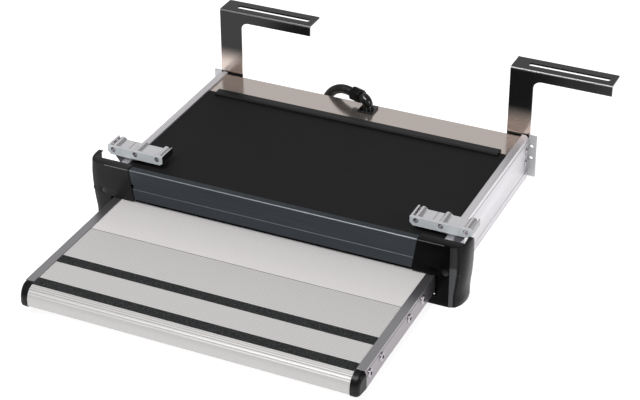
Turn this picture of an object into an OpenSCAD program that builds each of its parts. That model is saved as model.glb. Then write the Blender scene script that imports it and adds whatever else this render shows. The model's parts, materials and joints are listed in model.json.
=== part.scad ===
// Electric slide-out entrance step for a caravan or camper, drawn with the step out.
// X runs along the doorway, +Y goes under the vehicle, +Z is up, millimetres.

/* [Step] */
// Width over the outer faces of the two step rails
step_w = 550; // [460:1:700]
// How far the nose stands out of the cassette front
reach = 280; // [262:1:300]
// Height of the tread surface above the base
tread_z = 49; // [46:0.5:50]
// Width of one step rail
srail_w = 14; // [12:0.5:18]
// Height of one step rail
srail_h = 30; // [28:0.5:31]
// Wall of the step rails
srail_wall = 2.2; // [1.6:0.1:3]
// Length of step rail that stays behind the cassette front
srail_tail = 107; // [100:1:115]
// Depth of the tread planks through their box section
plank_h = 22.5; // [18:0.5:24]
// Skin of the tread planks
plank_skin = 2.4; // [1.6:0.1:3]
// Distance from the cassette front to the joint between the planks
plank_seam = 93.5; // [80:0.5:105]
// Length of rear plank behind the cassette front
plank_tail = 58; // [50:1:59]
// Drop of the nose below the tread
nose_drop = 30; // [27:0.5:34]
// Radius of the rounded nose
nose_r = 20; // [10:0.5:21]

/* [Grip strips] */
// Width of one grip strip
grip_w = 19; // [12:0.5:24]
// Thickness of a grip strip
grip_t = 1.4; // [1:0.1:2]
// Depth of the groove that a grip strip lies in
grip_groove = 0.9; // [0.5:0.1:1.2]
// Distance from the nose to the front strip
grip_edge = 17; // [16:0.5:22]
// Distance between the fronts of the two strips
grip_pitch = 67; // [40:1:80]
// Space between the strip ends and the step rails
grip_end = 1; // [0:0.5:10]

/* [Cassette] */
// Depth of the cassette from front to rear wall
cas_d = 396; // [385:1:460]
// Height of the side rails
cas_h = 80; // [78:0.5:86]
// Height of the underside of the side rails above the base
cas_z = 9; // [8:0.5:10]
// Wall of the side rails
cas_wall = 3; // [2:0.1:4]
// Width of the top flange of the side rails
lip_w = 12; // [10:0.5:14]
// Running gap between a step rail and the side rail wall
side_gap = 6.5; // [6:0.1:8]
// Width of the bottom flange of the side rails
foot_w = 34; // [30:1:40]
// Thickness of the cover and of the rear plate
sheet_t = 1.5; // [1:0.1:2]
// Depth of the rear plate
plate_d = 69; // [64:1:75]
// Width of the sealing strip on the cover
strip_w = 21; // [14:1:24]
// Height of the sealing strip
strip_h = 5; // [3:0.5:7]

/* [Front] */
// Gap between the tread and the front profile above it
face_gap = 6.5; // [4:0.5:9]
// Depth of the front profile
face_d = 12; // [10:0.5:14]
// Wall of the front profile
face_wall = 2.5; // [1.6:0.1:3]
// Width of an end cap across the cassette front, at its top
cap_w = 54; // [50:1:60]
// Taper of the end cap seam, wider towards the ground
cap_taper = 8; // [4:0.5:10]
// Overall height of the end caps
cap_h = 108; // [104:0.5:112]
// Depth of the end cap's side wing
cap_d = 42; // [34:1:48]
// Wall of the end caps
cap_wall = 2.6; // [2:0.1:3.5]
// Flare of the end cap from front to rear
cap_flare = 9; // [5:0.5:11]
// Width of the bevelled corner of an end cap
cap_bevel = 8; // [5:0.5:10]
// Diameter of the screw plugs in the end caps
plug_dia = 11; // [8:0.5:13]

/* [Hangers] */
// Height of the hanger flange above the base
hang_z = 208; // [170:1:260]
// Width of the hanger's upright
hang_w = 40; // [32:1:44]
// Length of the hanger arm
arm_l = 171; // [130:1:200]
// Height of the hanger arm
arm_h = 19; // [14:1:26]
// Depth of the hanger's top flange
flange_d = 40; // [30:1:50]
// Sheet thickness of the hangers
hang_t = 3; // [2:0.5:4]
// Fillet between upright and arm
hang_fillet = 14; // [6:1:20]
// Distance between the two hangers
hang_pitch = 530; // [440:1:540]
// Width of the slot in the hanger flange
slot_w = 10; // [7:0.1:11]
// Length of the slot in the hanger flange, over its round ends
slot_l = 138; // [90:1:150]
// Diameter of the hanger bolts
bolt_dia = 8; // [6:0.5:10]
// Sheet thickness of the rear corner brackets
corner_t = 2.5; // [1.5:0.1:4]
// How far a corner bracket stands out past the side rail
corner_out = 13.5; // [13:0.5:20]
// Diameter of the holes in the corner brackets
corner_hole = 6; // [4:0.5:6.5]
// Distance between the holes of one corner bracket
corner_pitch = 21.5; // [15:0.5:30]

/* [Front mounts] */
// Length of a mounting block across the vehicle
block_w = 100; // [90:1:110]
// Depth of a mounting block
block_d = 35; // [32:1:48]
// Height of a mounting block
block_h = 15.5; // [14:0.5:18]
// Distance between the middles of the two blocks
block_pitch = 525; // [450:1:540]
// Distance from the cassette front to the blocks
block_y = 52; // [46:1:60]
// Diameter of the block's bolt holes
block_hole = 8.5; // [6:0.5:9]
// Distance between neighbouring holes in a block
hole_pitch = 40; // [34:0.5:42]
// Gap between the side rail and the block, filled by the foot
foot_h = 6; // [4:0.5:9]

/* [Drive] */
// Diameter of the drive spindle
spindle_dia = 12; // [10:0.5:14]
// Radial running clearance of the spindle in its nut
spindle_fit = 0.06; // [0.03:0.01:0.1]
// Depth behind the retracted step for the gearbox and motor, which sets the travel
drive_d = 56; // [54:1:100]
// Diameter of the motor
motor_dia = 33; // [28:1:34]
// Length of the motor
motor_l = 86; // [60:1:120]
// Diameter of the rear track wheels
wheel_dia = 30; // [29.6:0.1:30.4]
// Diameter of the wheel pins
pin_dia = 6; // [5:0.5:8]

/* [Conduit] */
// Outer diameter of the cable conduit
hose_dia = 16; // [12:0.5:17]
// Side of the square flange under the elbow
gland_w = 27; // [24:0.5:30]
// Turn of the conduit elbow towards the rear
elbow_turn = 22; // [0:1:35]

/* [Hidden] */
$fn = 48;

// Across the doorway, right-hand side
srail_x1 = step_w / 2;
srail_x0 = srail_x1 - srail_w;
wall_x0 = srail_x1 + side_gap;
wall_x1 = wall_x0 + cas_wall;
lip_x = wall_x1 - lip_w;
groove_x = lip_x + 3.5;
cap_x1 = wall_x1 + 23.5;
cap_x0 = cap_x1 - cap_bevel - cap_w;
rail_mid = wall_x1 - lip_w / 2;

// Heights
rail_top = cas_z + cas_h;
lip_t = 3;
sheet_z = rail_top - lip_t - sheet_t;
face_z1 = cap_h - 0.5;
face_z0 = tread_z + face_gap;
srail_z0 = tread_z - srail_h;
plank_z0 = tread_z - plank_h;
nose_z0 = tread_z - nose_drop;
floor_t = 3;
floor_z = cas_z + floor_t;

// Front to rear, the cassette front is y = 0
rail_y0 = face_d + 2.5;
plate_y0 = cas_d - plate_d;
web_y = cas_d + corner_t;
nose_y = -reach;
srail_y0 = nose_y + 22;
nose_z = tread_z - nose_r;

// Drain holes in the base pan, and the crossbar under its rear end
drain_dia = 14;
drain_pitch = 160;
drain_y = [90, 200];
bar_in = 10;
bar_w = 60;
bar_lip = 12;
bar_slope = 4;
bar_t = 2;

// Sill under the front of the cassette, with the origin under its middle
sill_y0 = 1;
sill_y1 = 28;
origin_y = (sill_y0 + sill_y1) / 2;

// Wheel track in the side rails
track_clear = 0.35;
track_z0 = tread_z - 28.2;
track_z1 = track_z0 + wheel_dia + 2 * track_clear;
track_t = 2.5;
track_end = cas_d - 20;
wheel_z = (track_z0 + track_z1) / 2;
wheel_y = srail_tail - 15;
wheel_w = side_gap - 1.2;

// Drive line
spindle_z = sheet_z - 15.5;
bearing_y = 36;
bearing_t = 12;
bar_y0 = plank_tail + 2;
bar_y1 = bar_y0 + 20;
box_w = 44;
box_y0 = cas_d - drive_d;
travel = box_y0 - 2 - bar_y1;
box_d = min(40, cas_d - sheet_t - 1 - box_y0);
motor_y = box_y0 + box_d / 2;
motor_z = sheet_z - motor_dia / 2;
nut_dia = spindle_dia + 8;

// Hanger and corner bracket places
hang_x = hang_pitch / 2 - hang_w / 2;
slot_in = arm_l - 78;
bolt_z = [34, 62];
corner_z0 = cas_z + 5;
corner_z1 = rail_top + 1;
corner_in = 15;
corner_hole_x = wall_x1 + 5.5;
corner_hole_z = cas_z + 50;
notch_z0 = cas_z + 13;
notch_z1 = rail_top - 13;
notch_y = cas_d - 15;
leg_screw_z = [cas_z + 33, cas_z + 55];

// Front mounting blocks
block_z = rail_top + foot_h;
hole_z = block_z + block_h - 6.5;
boss_r = 6.5;
foot_y0 = block_y + 4;
foot_y1 = foot_y0 + 27;

// Screws that hold the planks in the step rails
screw_y = [nose_y + 38, nose_y + 80, -plank_seam - 4.5, 48 - plank_seam];
screw_dia = 5;
screw_head = 10;
screw_z = tread_z - 13.5;

// Conduit elbow on the rear plate
elbow_x = 5.5;
elbow_y = cas_d - 23;
elbow_r = 12;
elbow_dia = 18;
elbow_base = 8;
elbow_z = sheet_z + sheet_t + elbow_base + elbow_r;
nut_x0 = elbow_x - elbow_r - 4;
nut_l = 16;

// Route of the conduit: across and back from its nut, and height as a share of the nut's
nut_end = elbow_r + 4 + nut_l + 0.3;
hose_start = [elbow_x - nut_end * cos(elbow_turn), elbow_y + nut_end * sin(elbow_turn), elbow_z];
hose_low = hose_dia / 2 + 0.2;
hose_run = [
  [0, 0, 1], [-11.1, 4.5, 1], [-26.2, 10.7, 0.978], [-40.3, 16.6, 0.911], [-52.4, 21.9, 0.807],
  [-61.7, 26.1, 0.67], [-67.6, 29, 0.511], [-73.8, 31.2, 0.345], [-84, 32.8, 0.203], [-97.4, 33.9, 0.093],
  [-113.1, 34.4, 0.024], [-129.9, 34.3, 0], [-148.3, 34.1, 0], [-170.3, 33.9, 0], [-192.3, 33.7, 0],
  [-214.3, 33.5, 0], [-234.3, 33.3, 0]
];
hose_pts = [for (p = hose_run)
  [hose_start[0] + p[0], hose_start[1] + p[1], hose_low + (elbow_z - hose_low) * p[2]]];
hose_end = hose_pts[len(hose_pts) - 1];

// Move a piece drawn from the cassette front so that the origin is under the middle of the front sill
module place() translate([0, -origin_y, 0]) children();

// The same piece on the left
module flip() mirror([1, 0, 0]) children();

// Run an XZ section from y0 to y1
module run_y(y0, y1)
  translate([0, y1, 0]) rotate([90, 0, 0]) linear_extrude(y1 - y0) children();

// Run a YZ section from x0 to x1
module run_x(x0, x1)
  translate([x0, 0, 0]) rotate([90, 0, 90]) linear_extrude(x1 - x0) children();

// Rectangle between two corners
module rect(a, b) translate(a) square(b - a);

// Block between two corners
module block(a, b) translate(a) cube(b - a);

// Bore or bar along X, Y or Z from a point
module bar_x(p, d, l) translate(p) rotate([0, 90, 0]) cylinder(d = d, h = l);
module bar_y(p, d, l) translate(p) rotate([-90, 0, 0]) cylinder(d = d, h = l);
module bar_z(p, d, l) translate(p) cylinder(d = d, h = l);

// Button-head screw along +X, its head seat at the origin
module button_screw(d, head, l) {
  rotate([0, 90, 0]) rotate_extrude()
    polygon([[0, -l], [d / 2, -l], [d / 2, 0], [head / 2, 0], [head / 2, 0.8],
      [head * 0.42, 1.7], [head * 0.3, 2.3], [head * 0.22, 2.5], [0, 2.5]]);
}

// Side rail, right: outer wall, top flange, cover groove, wheel track and floor
module side_rail_outer() difference() {
  union() {
    rect([wall_x0, cas_z], [wall_x1, rail_top]);
    rect([lip_x, rail_top - lip_t], [wall_x1, rail_top]);
    rect([wall_x1 - foot_w, cas_z], [wall_x1, floor_z]);
  }
  for (z = [cas_z + 14, rail_top - 9])
    rect([wall_x1 - 0.8, z], [wall_x1 + 1, z + 1.2]);
}

module side_rail_inner() {
  rect([lip_x - 8, sheet_z - 2.5], [wall_x0 + 0.5, sheet_z]);
  rect([srail_x1 + 0.6, track_z1], [wall_x0 + 0.5, track_z1 + track_t]);
  rect([srail_x1 + 0.6, track_z0 - track_t], [wall_x0 + 0.5, track_z0]);
}

module side_rail() difference() {
  union() {
    run_y(rail_y0, cas_d) side_rail_outer();
    run_y(rail_y0, track_end) side_rail_inner();
  }
  block([wall_x0 - 1, notch_y, notch_z0], [wall_x1 + 1, cas_d + 1, notch_z1]);
  translate([wall_x1, cas_d, rail_top - lip_t - 1]) rotate([0, 0, 45])
    translate([-4, -4, 0]) cube([8, 8, lip_t + 2]);
}

// Front profile: a box with an upstand and a lip, its ends cut along the cap seams
module face_section() difference() {
  union() {
    rect([0, face_z0], [face_wall, face_z1]);
    rect([0, face_z1 - face_wall], [face_d, face_z1]);
    rect([0, face_z0], [rail_y0, sheet_z + sheet_t]);
  }
  rect([face_wall, face_z0 + face_wall], [rail_y0 - face_wall, sheet_z + sheet_t - face_wall]);
  rect([-1, face_z0 + 18], [0.5, face_z0 + 19]);
  translate([0, face_z1]) rotate(45) square(1.4, center = true);
}

module face_body() intersection() {
  run_x(-cap_x0, cap_x0) face_section();
  run_y(-1, rail_y0 + 1)
    polygon([[-cap_x0 + cap_taper + 0.4, face_z0 - 1], [cap_x0 - cap_taper - 0.4, face_z0 - 1],
      [cap_x0 - 0.4, face_z1 + 1], [-cap_x0 + 0.4, face_z1 + 1]]);
}

module face_profile() difference() {
  face_body();
  block([-cap_x0 - 1, -1, face_z0 + 20], [-cap_x0 + cap_taper + 1, face_wall, face_z0 + 27]);
}

// End cap, right: a moulded shell with a flared wing
module cap_plan(inset) polygon(concat(
  [[cap_x0 - cap_taper - 2, inset], [cap_x1 - cap_bevel - inset * 0.3, inset],
    [cap_x1 - inset, 3.5 + inset * 0.5]],
  [for (t = [0.12, 0.26, 0.42, 0.6, 0.8, 1])
    [cap_x1 + cap_flare * (1 - pow(1 - t, 3.5)) - inset, 3.5 + (cap_d - 2.5) * t]],
  [[cap_x0 - cap_taper - 2, cap_d + 1]]));

module cap_seam() run_y(-1, cap_d + 2) polygon([
  [cap_x0 - cap_taper + 0.4, face_z0 - 1], [cap_x0 + 0.4, cap_h + 1],
  [cap_x1 + 20, cap_h + 1], [cap_x1 + 20, -1], [wall_x1 - 22, -1],
  [wall_x1 - 22, 16], [srail_x1 + 5, 16], [srail_x1 + 5, face_z0 - 3.5],
  [cap_x0 - cap_taper + 0.4, face_z0 - 3.5]]);

module cap_side_trim() run_x(cap_x0 - 40, cap_x1 + 20) difference() {
  rect([-1, -1], [cap_d + 2, cap_h + 1]);
  translate([cap_d - 9, 9]) circle(9);
  translate([cap_d - 6, cap_h - 6]) circle(6);
  rect([-2, -2], [cap_d - 9, cap_h + 2]);
  rect([-2, 9], [cap_d, cap_h - 6]);
  rect([-2, 9], [cap_d - 6, cap_h + 2]);
}

module end_cap() difference() {
  intersection() {
    union() {
      difference() {
        linear_extrude(cap_h) cap_plan(0);
        translate([0, 0, cap_wall]) linear_extrude(cap_h - 2 * cap_wall) cap_plan(cap_wall);
        block([0, 17, cap_wall - 1], [cap_x1 + 2.5, cap_d + 2, cap_h + 1]);
        block([0, 17, -1], [cap_x1 + 2.5, cap_d + 2, cap_wall + 1]);
      }
      // Seat on the front end of the side rail, with the screw boss
      block([wall_x0 - 3, cap_wall - 0.5, face_z0 + 2], [wall_x1, rail_y0, rail_top - 2]);
      // Wall beside the opening for the step rail
      block([wall_x0, cap_wall - 0.5, 17], [wall_x1 - 0.1, rail_y0, face_z0 + 2.5]);
      bar_y([plug_x, cap_wall - 0.5, plug_z], plug_dia + 5, rail_y0 - cap_wall + 0.5);
      // Rib that ties the seat to the wing
      block([wall_x1 - 1, cap_wall - 0.5, plug_z - 2], [cap_x1, 12, plug_z + 2]);
    }
    cap_seam();
  }
  cap_side_trim();
  bar_y([plug_x, -1, plug_z], plug_dia, 5);
}
plug_x = wall_x1 + 7;
plug_z = face_z0 + 3.5;

module cap_plug() {
  bar_y([plug_x, 0.6, plug_z], plug_dia, 3.4);
  bar_y([plug_x, 0.1, plug_z], plug_dia - 2.4, 0.6);
}

// Cover sheet, with its edges in the grooves of the side rails
module cover() block([-groove_x, rail_y0, sheet_z], [groove_x, plate_y0, sheet_z + sheet_t]);

module seal_strip() run_x(-lip_x + 17, lip_x - 14)
  polygon([[plate_y0 - 14, sheet_z + sheet_t], [plate_y0 - 13, sheet_z + sheet_t + strip_h * 0.8],
    [plate_y0 - 10, sheet_z + sheet_t + strip_h], [plate_y0 - 17 + strip_w, sheet_z + sheet_t + strip_h],
    [plate_y0 - 14 + strip_w, sheet_z + sheet_t + strip_h * 0.6],
    [plate_y0 - 14 + strip_w, sheet_z + sheet_t]]);

// Rear plate: folded down into the rear wall, with tabs along the side rails
module plate() difference() {
  union() {
    block([-groove_x, plate_y0, sheet_z], [groove_x, cas_d - 3, sheet_z + sheet_t]);
    intersection() {
      bar_x([-groove_x, cas_d - 3, sheet_z + sheet_t - 3], 6, 2 * groove_x);
      block([-groove_x, cas_d - 3, sheet_z + sheet_t - 3], [groove_x, cas_d + 1, sheet_z + sheet_t]);
    }
    block([-wall_x0, cas_d - sheet_t, floor_z], [wall_x0, cas_d, sheet_z + sheet_t - 3]);
    for (m = [0, 1]) mirror([m, 0, 0])
      block([wall_x0 - sheet_t, cas_d - 17, notch_z0], [wall_x0, cas_d, notch_z1]);
  }
  bar_x([-wall_x0, cas_d - 3, sheet_z + sheet_t - 3], 6 - 2 * sheet_t, 2 * wall_x0);
  for (m = [0, 1], z = bolt_z) mirror([m, 0, 0])
    bar_y([hang_pitch / 2, cas_d - 5, z], bolt_dia, 8);
  for (m = [0, 1], z = leg_screw_z) mirror([m, 0, 0])
    bar_x([wall_x0 - 3, cas_d - 9, z], screw_dia, 5);
  bar_z([elbow_x, elbow_y, sheet_z - 1], elbow_dia - 4, 4);
}

// Corner bracket, right: leg in the rail's cut-back wall, flange behind the rail
module corner_bracket() difference() {
  union() {
    block([wall_x0, notch_y + 0.5, notch_z0 + 1], [wall_x0 + corner_t, web_y, notch_z1 - 1]);
    block([wall_x1, cas_d, corner_z0], [wall_x1 + corner_out, web_y, corner_z1]);
    block([wall_x0 - corner_in - hang_w / 2, cas_d, corner_z0], [wall_x1 + 0.1, web_y, sheet_z - 5]);
  }
  for (s = [-1, 1])
    bar_y([corner_hole_x, cas_d - 1, corner_hole_z + s * corner_pitch / 2], corner_hole, corner_t + 2);
  for (z = bolt_z) bar_y([hang_pitch / 2, cas_d - 1, z], bolt_dia, corner_t + 2);
  for (z = leg_screw_z) bar_x([wall_x0 - 1, cas_d - 9, z], screw_dia, corner_t + 2);
}

// Two screws through the leg into the tab of the rear wall
module corner_screws() for (z = leg_screw_z)
  translate([wall_x0 + corner_t, cas_d - 9, z]) button_screw(screw_dia, screw_head, corner_t + sheet_t + 2);

// Hanger: bent sheet, upright and arm in one plane, the flange turned rearwards
module hanger_web() difference() {
  union() {
    rect([hang_x, 22], [hang_x + hang_w, hang_z - hang_t - 1]);
    rect([hang_x, hang_z - arm_h], [hang_x + arm_l, hang_z - hang_t - 1]);
    rect([hang_x + hang_w - 0.01, hang_z - arm_h - hang_fillet],
      [hang_x + hang_w + hang_fillet, hang_z - arm_h + 0.01]);
  }
  translate([hang_x + hang_w + hang_fillet, hang_z - arm_h - hang_fillet]) circle(hang_fillet, $fn = 64);
}

module hanger_fold() {
  intersection() {
    translate([web_y + hang_t + 1, hang_z - hang_t - 1]) difference() {
      circle(hang_t + 1);
      circle(1);
    }
    rect([web_y - 1, hang_z - hang_t - 1], [web_y + hang_t + 1, hang_z + 1]);
  }
  rect([web_y + hang_t + 1, hang_z - hang_t], [web_y + flange_d, hang_z]);
}

module hanger() difference() {
  union() {
    run_y(web_y, web_y + hang_t) hanger_web();
    run_x(hang_x, hang_x + arm_l) hanger_fold();
  }
  for (z = bolt_z) bar_y([hang_pitch / 2, web_y - 1, z], bolt_dia, hang_t + 2);
  translate([hang_x + slot_in, web_y + flange_d / 2, hang_z - hang_t - 1]) {
    for (s = [-1, 1]) bar_z([s * (slot_l - slot_w) / 2, 0, 0], slot_w, hang_t + 2);
    block([-(slot_l - slot_w) / 2, -slot_w / 2, 0], [(slot_l - slot_w) / 2, slot_w / 2, hang_t + 2]);
  }
}

// Two bolts with a low round head behind and a nut inside the cassette
module hanger_bolts() for (z = bolt_z) translate([hang_pitch / 2, 0, z]) {
  bar_y([0, cas_d - sheet_t - 8, 0], bolt_dia, web_y + hang_t - cas_d + sheet_t + 8);
  bar_y([0, web_y + hang_t, 0], bolt_dia * 1.8, 4.5);
  translate([0, cas_d - sheet_t - 6.5, 0]) rotate([-90, 0, 0]) cylinder(d = bolt_dia * 1.75, h = 6.5, $fn = 6);
}

// Mounting block on the right rail, drawn round its own middle
module mount_section() {
  top = block_h - 4.5;
  half = block_w / 2;
  polygon([[-half + 5, 0], [half - 5, 0], [half, 4], [half, block_h], [half - 1.8, block_h],
    [half - 3.2, top], [-half + 12, top], [-half + 3.5, top - 2], [-half + 3.5, block_h],
    [-half, block_h], [-half, 5]]);
  for (s = [-1, 0, 1]) translate([s * hole_pitch, block_h - 6.5]) circle(boss_r);
}

module mount_block() translate([0, block_y, block_z]) difference() {
  union() {
    translate([0, block_d, 0]) rotate([90, 0, 0]) linear_extrude(block_d) mount_section();
    translate([0, 4, 0]) rotate([90, 0, 0]) linear_extrude(4)
      polygon([[-block_w / 2 + 5, 0], [block_w / 2 - 5, 0], [block_w / 2, 4],
        [block_w / 2, block_h], [-block_w / 2, block_h], [-block_w / 2, 5]]);
  }
  for (s = [-1, 0, 1]) bar_y([s * hole_pitch, -1, block_h - 6.5], block_hole, block_d + 2);
  for (y = [0.3, 0.68]) block([-block_w / 2 + 4, block_d * y, -1], [-block_w / 2 + 6.4, block_d * y + 8, block_h]);
  block([-hole_pitch * 0.42, 4.01, block_h - 5.3], [-hole_pitch * 0.42 + 1.2, block_d + 1, block_h]);
}

// Tapered foot that carries the block on the rail and hooks over its outer wall
module mount_foot_body() run_y(foot_y0, foot_y1) polygon([
  [rail_mid - 34, block_z], [rail_mid + 22, block_z], [rail_mid + 22, block_z - 4],
  [wall_x1 + 6, rail_top - 12], [wall_x1 + 6, rail_top - 26], [wall_x1, rail_top - 26],
  [wall_x1, rail_top], [lip_x + 0.5, rail_top], [lip_x + 0.5, rail_top], [rail_mid - 34, block_z - 1]]);

// Bottom of the cassette
module pan() difference() {
  block([-wall_x1 + foot_w - 12, 30, cas_z - sheet_t], [wall_x1 - foot_w + 12, cas_d - 6, cas_z]);
  for (x = [-drain_pitch, 0, drain_pitch], y = drain_y) bar_z([x, y, cas_z - 3], drain_dia, 5);
}

module sill() run_x(-wall_x1 + 22.4, wall_x1 - 22.4) difference() {
  rect([sill_y0, 0], [sill_y1, cas_z]);
  rect([sill_y0 + 2.5, 2.5], [sill_y1 - 2.5, cas_z - 2.5]);
}

module crossbar_under() run_x(-wall_x1 + 26, wall_x1 - 26)
  let (a = cas_d - bar_in - bar_w, b = cas_d - bar_in, c = bar_lip + bar_slope, z = cas_z - sheet_t, t = bar_t)
  polygon([[a, z - t], [a + bar_lip, z - t], [a + c, 0], [b - c, 0], [b - bar_lip, z - t],
    [b, z - t], [b, z], [b - bar_lip - 1, z],
    [b - c - 1, t], [a + c + 1, t], [a + bar_lip + 1, z], [a, z]]);

// Plastic pad that the step rail slides on, with a lip beside the rail
module glide() {
  difference() {
    block([srail_x0 - 3, rail_y0 + 3, floor_z], [wall_x0, rail_y0 + 45, srail_z0 - 0.3]);
    block([srail_x1 + 0.5, rail_y0, track_z0 - track_t - 0.3], [wall_x0 + 1, rail_y0 + 60, srail_z0 + 1]);
  }
}

// Drive line above the tread
module bearing_block() difference() {
  block([-16, bearing_y, spindle_z - 13], [16, bearing_y + bearing_t, sheet_z]);
  bar_y([0, bearing_y + 3, spindle_z], 8.1, bearing_t);
}

module spindle_body() {
  bar_y([0, bearing_y + 4, spindle_z], 8, bearing_t - 3);
  bar_y([0, bearing_y + bearing_t + 0.6, spindle_z], spindle_dia, box_y0 + 14 - bearing_y - bearing_t - 0.6);
}

module gearbox_body() difference() {
  union() {
    block([-box_w / 2, box_y0, spindle_z - 16], [box_w / 2, box_y0 + box_d, sheet_z]);
    bar_y([0, box_y0 - 1.2, spindle_z], spindle_dia + 10, 2);
  }
  bar_y([0, box_y0 - 2, spindle_z], spindle_dia + 0.12, 18);
}

module motor_body() {
  bar_x([box_w / 2, motor_y, motor_z], motor_dia, motor_l);
  bar_x([box_w / 2 + motor_l, motor_y, motor_z], motor_dia * 0.45, 5);
}

module crossbar_step() difference() {
  block([-srail_x0, bar_y0, srail_z0 + 2], [srail_x0, bar_y1, tread_z - 2]);
  block([-srail_x0 - 1, bar_y0 + 2.5, srail_z0 + 4.5], [srail_x0 + 1, bar_y1 - 2.5, tread_z - 4.5]);
}

module nut_lug() difference() {
  block([-18, bar_y0 + 2, tread_z - 2], [18, bar_y1 - 2, spindle_z + nut_dia / 2 + 3]);
  bar_y([0, bar_y0, spindle_z], nut_dia, 24);
}

module nut_body() difference() {
  union() {
    bar_y([0, bar_y0 + 2, spindle_z], nut_dia, 16);
    bar_y([0, bar_y0 - 0.5, spindle_z], nut_dia + 6, 2.5);
  }
  bar_y([0, bar_y0 - 2, spindle_z], spindle_dia + 2 * spindle_fit, 22);
}

// Step rail, right: hollow box with a ledge under the planks
module step_rail() difference() {
  run_y(srail_y0, srail_tail) difference() {
    union() {
      rect([srail_x0, srail_z0], [srail_x1, tread_z]);
      rect([srail_x0 - 9, plank_z0 - 2.2], [srail_x0 + 0.5, plank_z0]);
    }
    rect([srail_x0 + srail_wall, srail_z0 + srail_wall], [srail_x1 - srail_wall, screw_z - 8]);
    rect([srail_x0 + srail_wall, screw_z - 8 + srail_wall], [srail_x1 - srail_wall, tread_z - srail_wall]);
    rect([srail_x1 - 0.6, tread_z - 4.2], [srail_x1 + 1, tread_z - 3.4]);
  }
  for (y = screw_y) bar_x([srail_x0 - 1, y, screw_z], screw_dia, srail_w + 2);
  bar_x([srail_x0 - 1, wheel_y, wheel_z], pin_dia, srail_w + 2);
  block([srail_x0 - 10, plank_tail, plank_z0 - 3], [srail_x0, srail_tail + 1, plank_z0 + 1]);
}

module rail_screws() for (y = screw_y) translate([srail_x1, y, screw_z]) button_screw(screw_dia, screw_head, srail_w + 6);

// Tread planks: hollow extrusions
module chambers(y0, y1, n) {
  w = (y1 - y0 - (n + 1) * plank_skin) / n;
  for (i = [0:n - 1])
    rect([y0 + plank_skin + i * (w + plank_skin), plank_z0 + plank_skin],
      [y0 + plank_skin + i * (w + plank_skin) + w, tread_z - plank_skin]);
}

module nose_outline(grow) {
  rect([nose_y + nose_r, nose_z0 - grow], [srail_y0, tread_z + grow]);
  intersection() {
    translate([nose_y + nose_r, nose_z]) circle(nose_r + grow, $fn = 64);
    rect([nose_y - 2, nose_z], [srail_y0, tread_z + 2]);
  }
  polygon([[nose_y - grow, nose_z], [nose_y + nose_r, nose_z],
    [nose_y + nose_r, nose_z0 - grow], [nose_y + 4, nose_z0 - grow],
    [nose_y + 1.5 - grow / 2, nose_z0 + 1], [nose_y - grow, nose_z0 + 4]]);
}

module grip_slots(depth) for (g = [grip_edge, grip_edge + grip_pitch])
  rect([nose_y + g, tread_z - depth], [nose_y + g + grip_w, tread_z + 5]);

module front_plank() difference() {
  union() {
    run_x(-srail_x0, srail_x0) rect([nose_y + nose_r, plank_z0], [-plank_seam, tread_z]);
    intersection() {
      bar_x([-srail_x0, nose_y + nose_r, nose_z], 2 * nose_r, 2 * srail_x0);
      block([-srail_x0 - 1, nose_y - 1, plank_z0], [srail_x0 + 1, nose_y + nose_r + 4, tread_z + 1]);
    }
    // Front wall below the curve, with its return lip
    run_x(-srail_x0, srail_x0) polygon([[nose_y + 0.3, nose_z + 2], [nose_y + 3.8, nose_z + 2],
      [nose_y + 3.8, nose_z0 + 2.6], [nose_y + 12, nose_z0 + 2.6], [nose_y + 12, nose_z0],
      [nose_y + 2, nose_z0], [nose_y + 0.05, nose_z0 + 2], [nose_y + 0.05, nose_z]]);
  }
  intersection() {
    bar_x([-srail_x0 - 1, nose_y + nose_r, nose_z], 2 * (nose_r - plank_skin - 0.8), 2 * srail_x0 + 2);
    block([-srail_x0 - 1, nose_y, plank_z0 + plank_skin], [srail_x0 + 1, nose_y + 26, tread_z]);
  }
  run_x(-srail_x0 - 1, srail_x0 + 1) {
    chambers(nose_y + 26, -plank_seam, 4);
    grip_slots(grip_groove);
  }
  // Fine groove along the curve
  bar_x([-srail_x0 - 1, nose_y + nose_r - nose_r * sin(52), nose_z + nose_r * cos(52)], 1.4, 2 * srail_x0 + 2);
  for (m = [0, 1], y = screw_y) mirror([m, 0, 0]) bar_x([srail_x0 - 6, y, screw_z], screw_dia, 7);
}

module rear_plank() difference() {
  run_x(-srail_x0, srail_x0) difference() {
    rect([-plank_seam + 0.2, plank_z0], [plank_tail, tread_z]);
    chambers(-plank_seam + 0.2, plank_tail, 4);
  }
  for (m = [0, 1], y = screw_y) mirror([m, 0, 0]) bar_x([srail_x0 - 6, y, screw_z], screw_dia, 7);
}

module grip(edge) run_x(-srail_x0 + grip_end, srail_x0 - grip_end)
  rect([nose_y + edge, tread_z - grip_groove], [nose_y + edge + grip_w, tread_z - grip_groove + grip_t]);

// End plug of the step rail and of the nose
module step_cap() {
  intersection() {
    run_x(srail_x0, srail_x1 + 4) nose_outline(0.8);
    translate([0, 0, nose_z0 - 4]) linear_extrude(nose_drop + 8) polygon([
      [srail_x0 - 1, srail_y0 + 1], [srail_x1 + 2.5, srail_y0 + 1], [srail_x1 + 2.5, srail_y0 - 1],
      [srail_x1 - 2, nose_y + 3], [srail_x1 - 3, nose_y + 0.8], [srail_x1 - 4.8, nose_y - 0.6],
      [srail_x1 - 7, nose_y - 1.2], [srail_x0 - 1, nose_y - 1.2]]);
  }
  block([srail_x0 + srail_wall + 0.1, srail_y0 - 1, screw_z - 8 + srail_wall + 0.1],
    [srail_x1 - srail_wall - 0.1, srail_y0 + 12, tread_z - srail_wall - 0.1]);
}

module track_wheel() difference() {
  bar_x([srail_x1 + 0.6, wheel_y, wheel_z], wheel_dia, wheel_w);
  bar_x([srail_x1, wheel_y, wheel_z], pin_dia + 0.1, wheel_w + 2);
}

module wheel_pin() bar_x([srail_x0 - 2, wheel_y, wheel_z], pin_dia, srail_w + 2 + 0.6 + wheel_w + 0.3);

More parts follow.
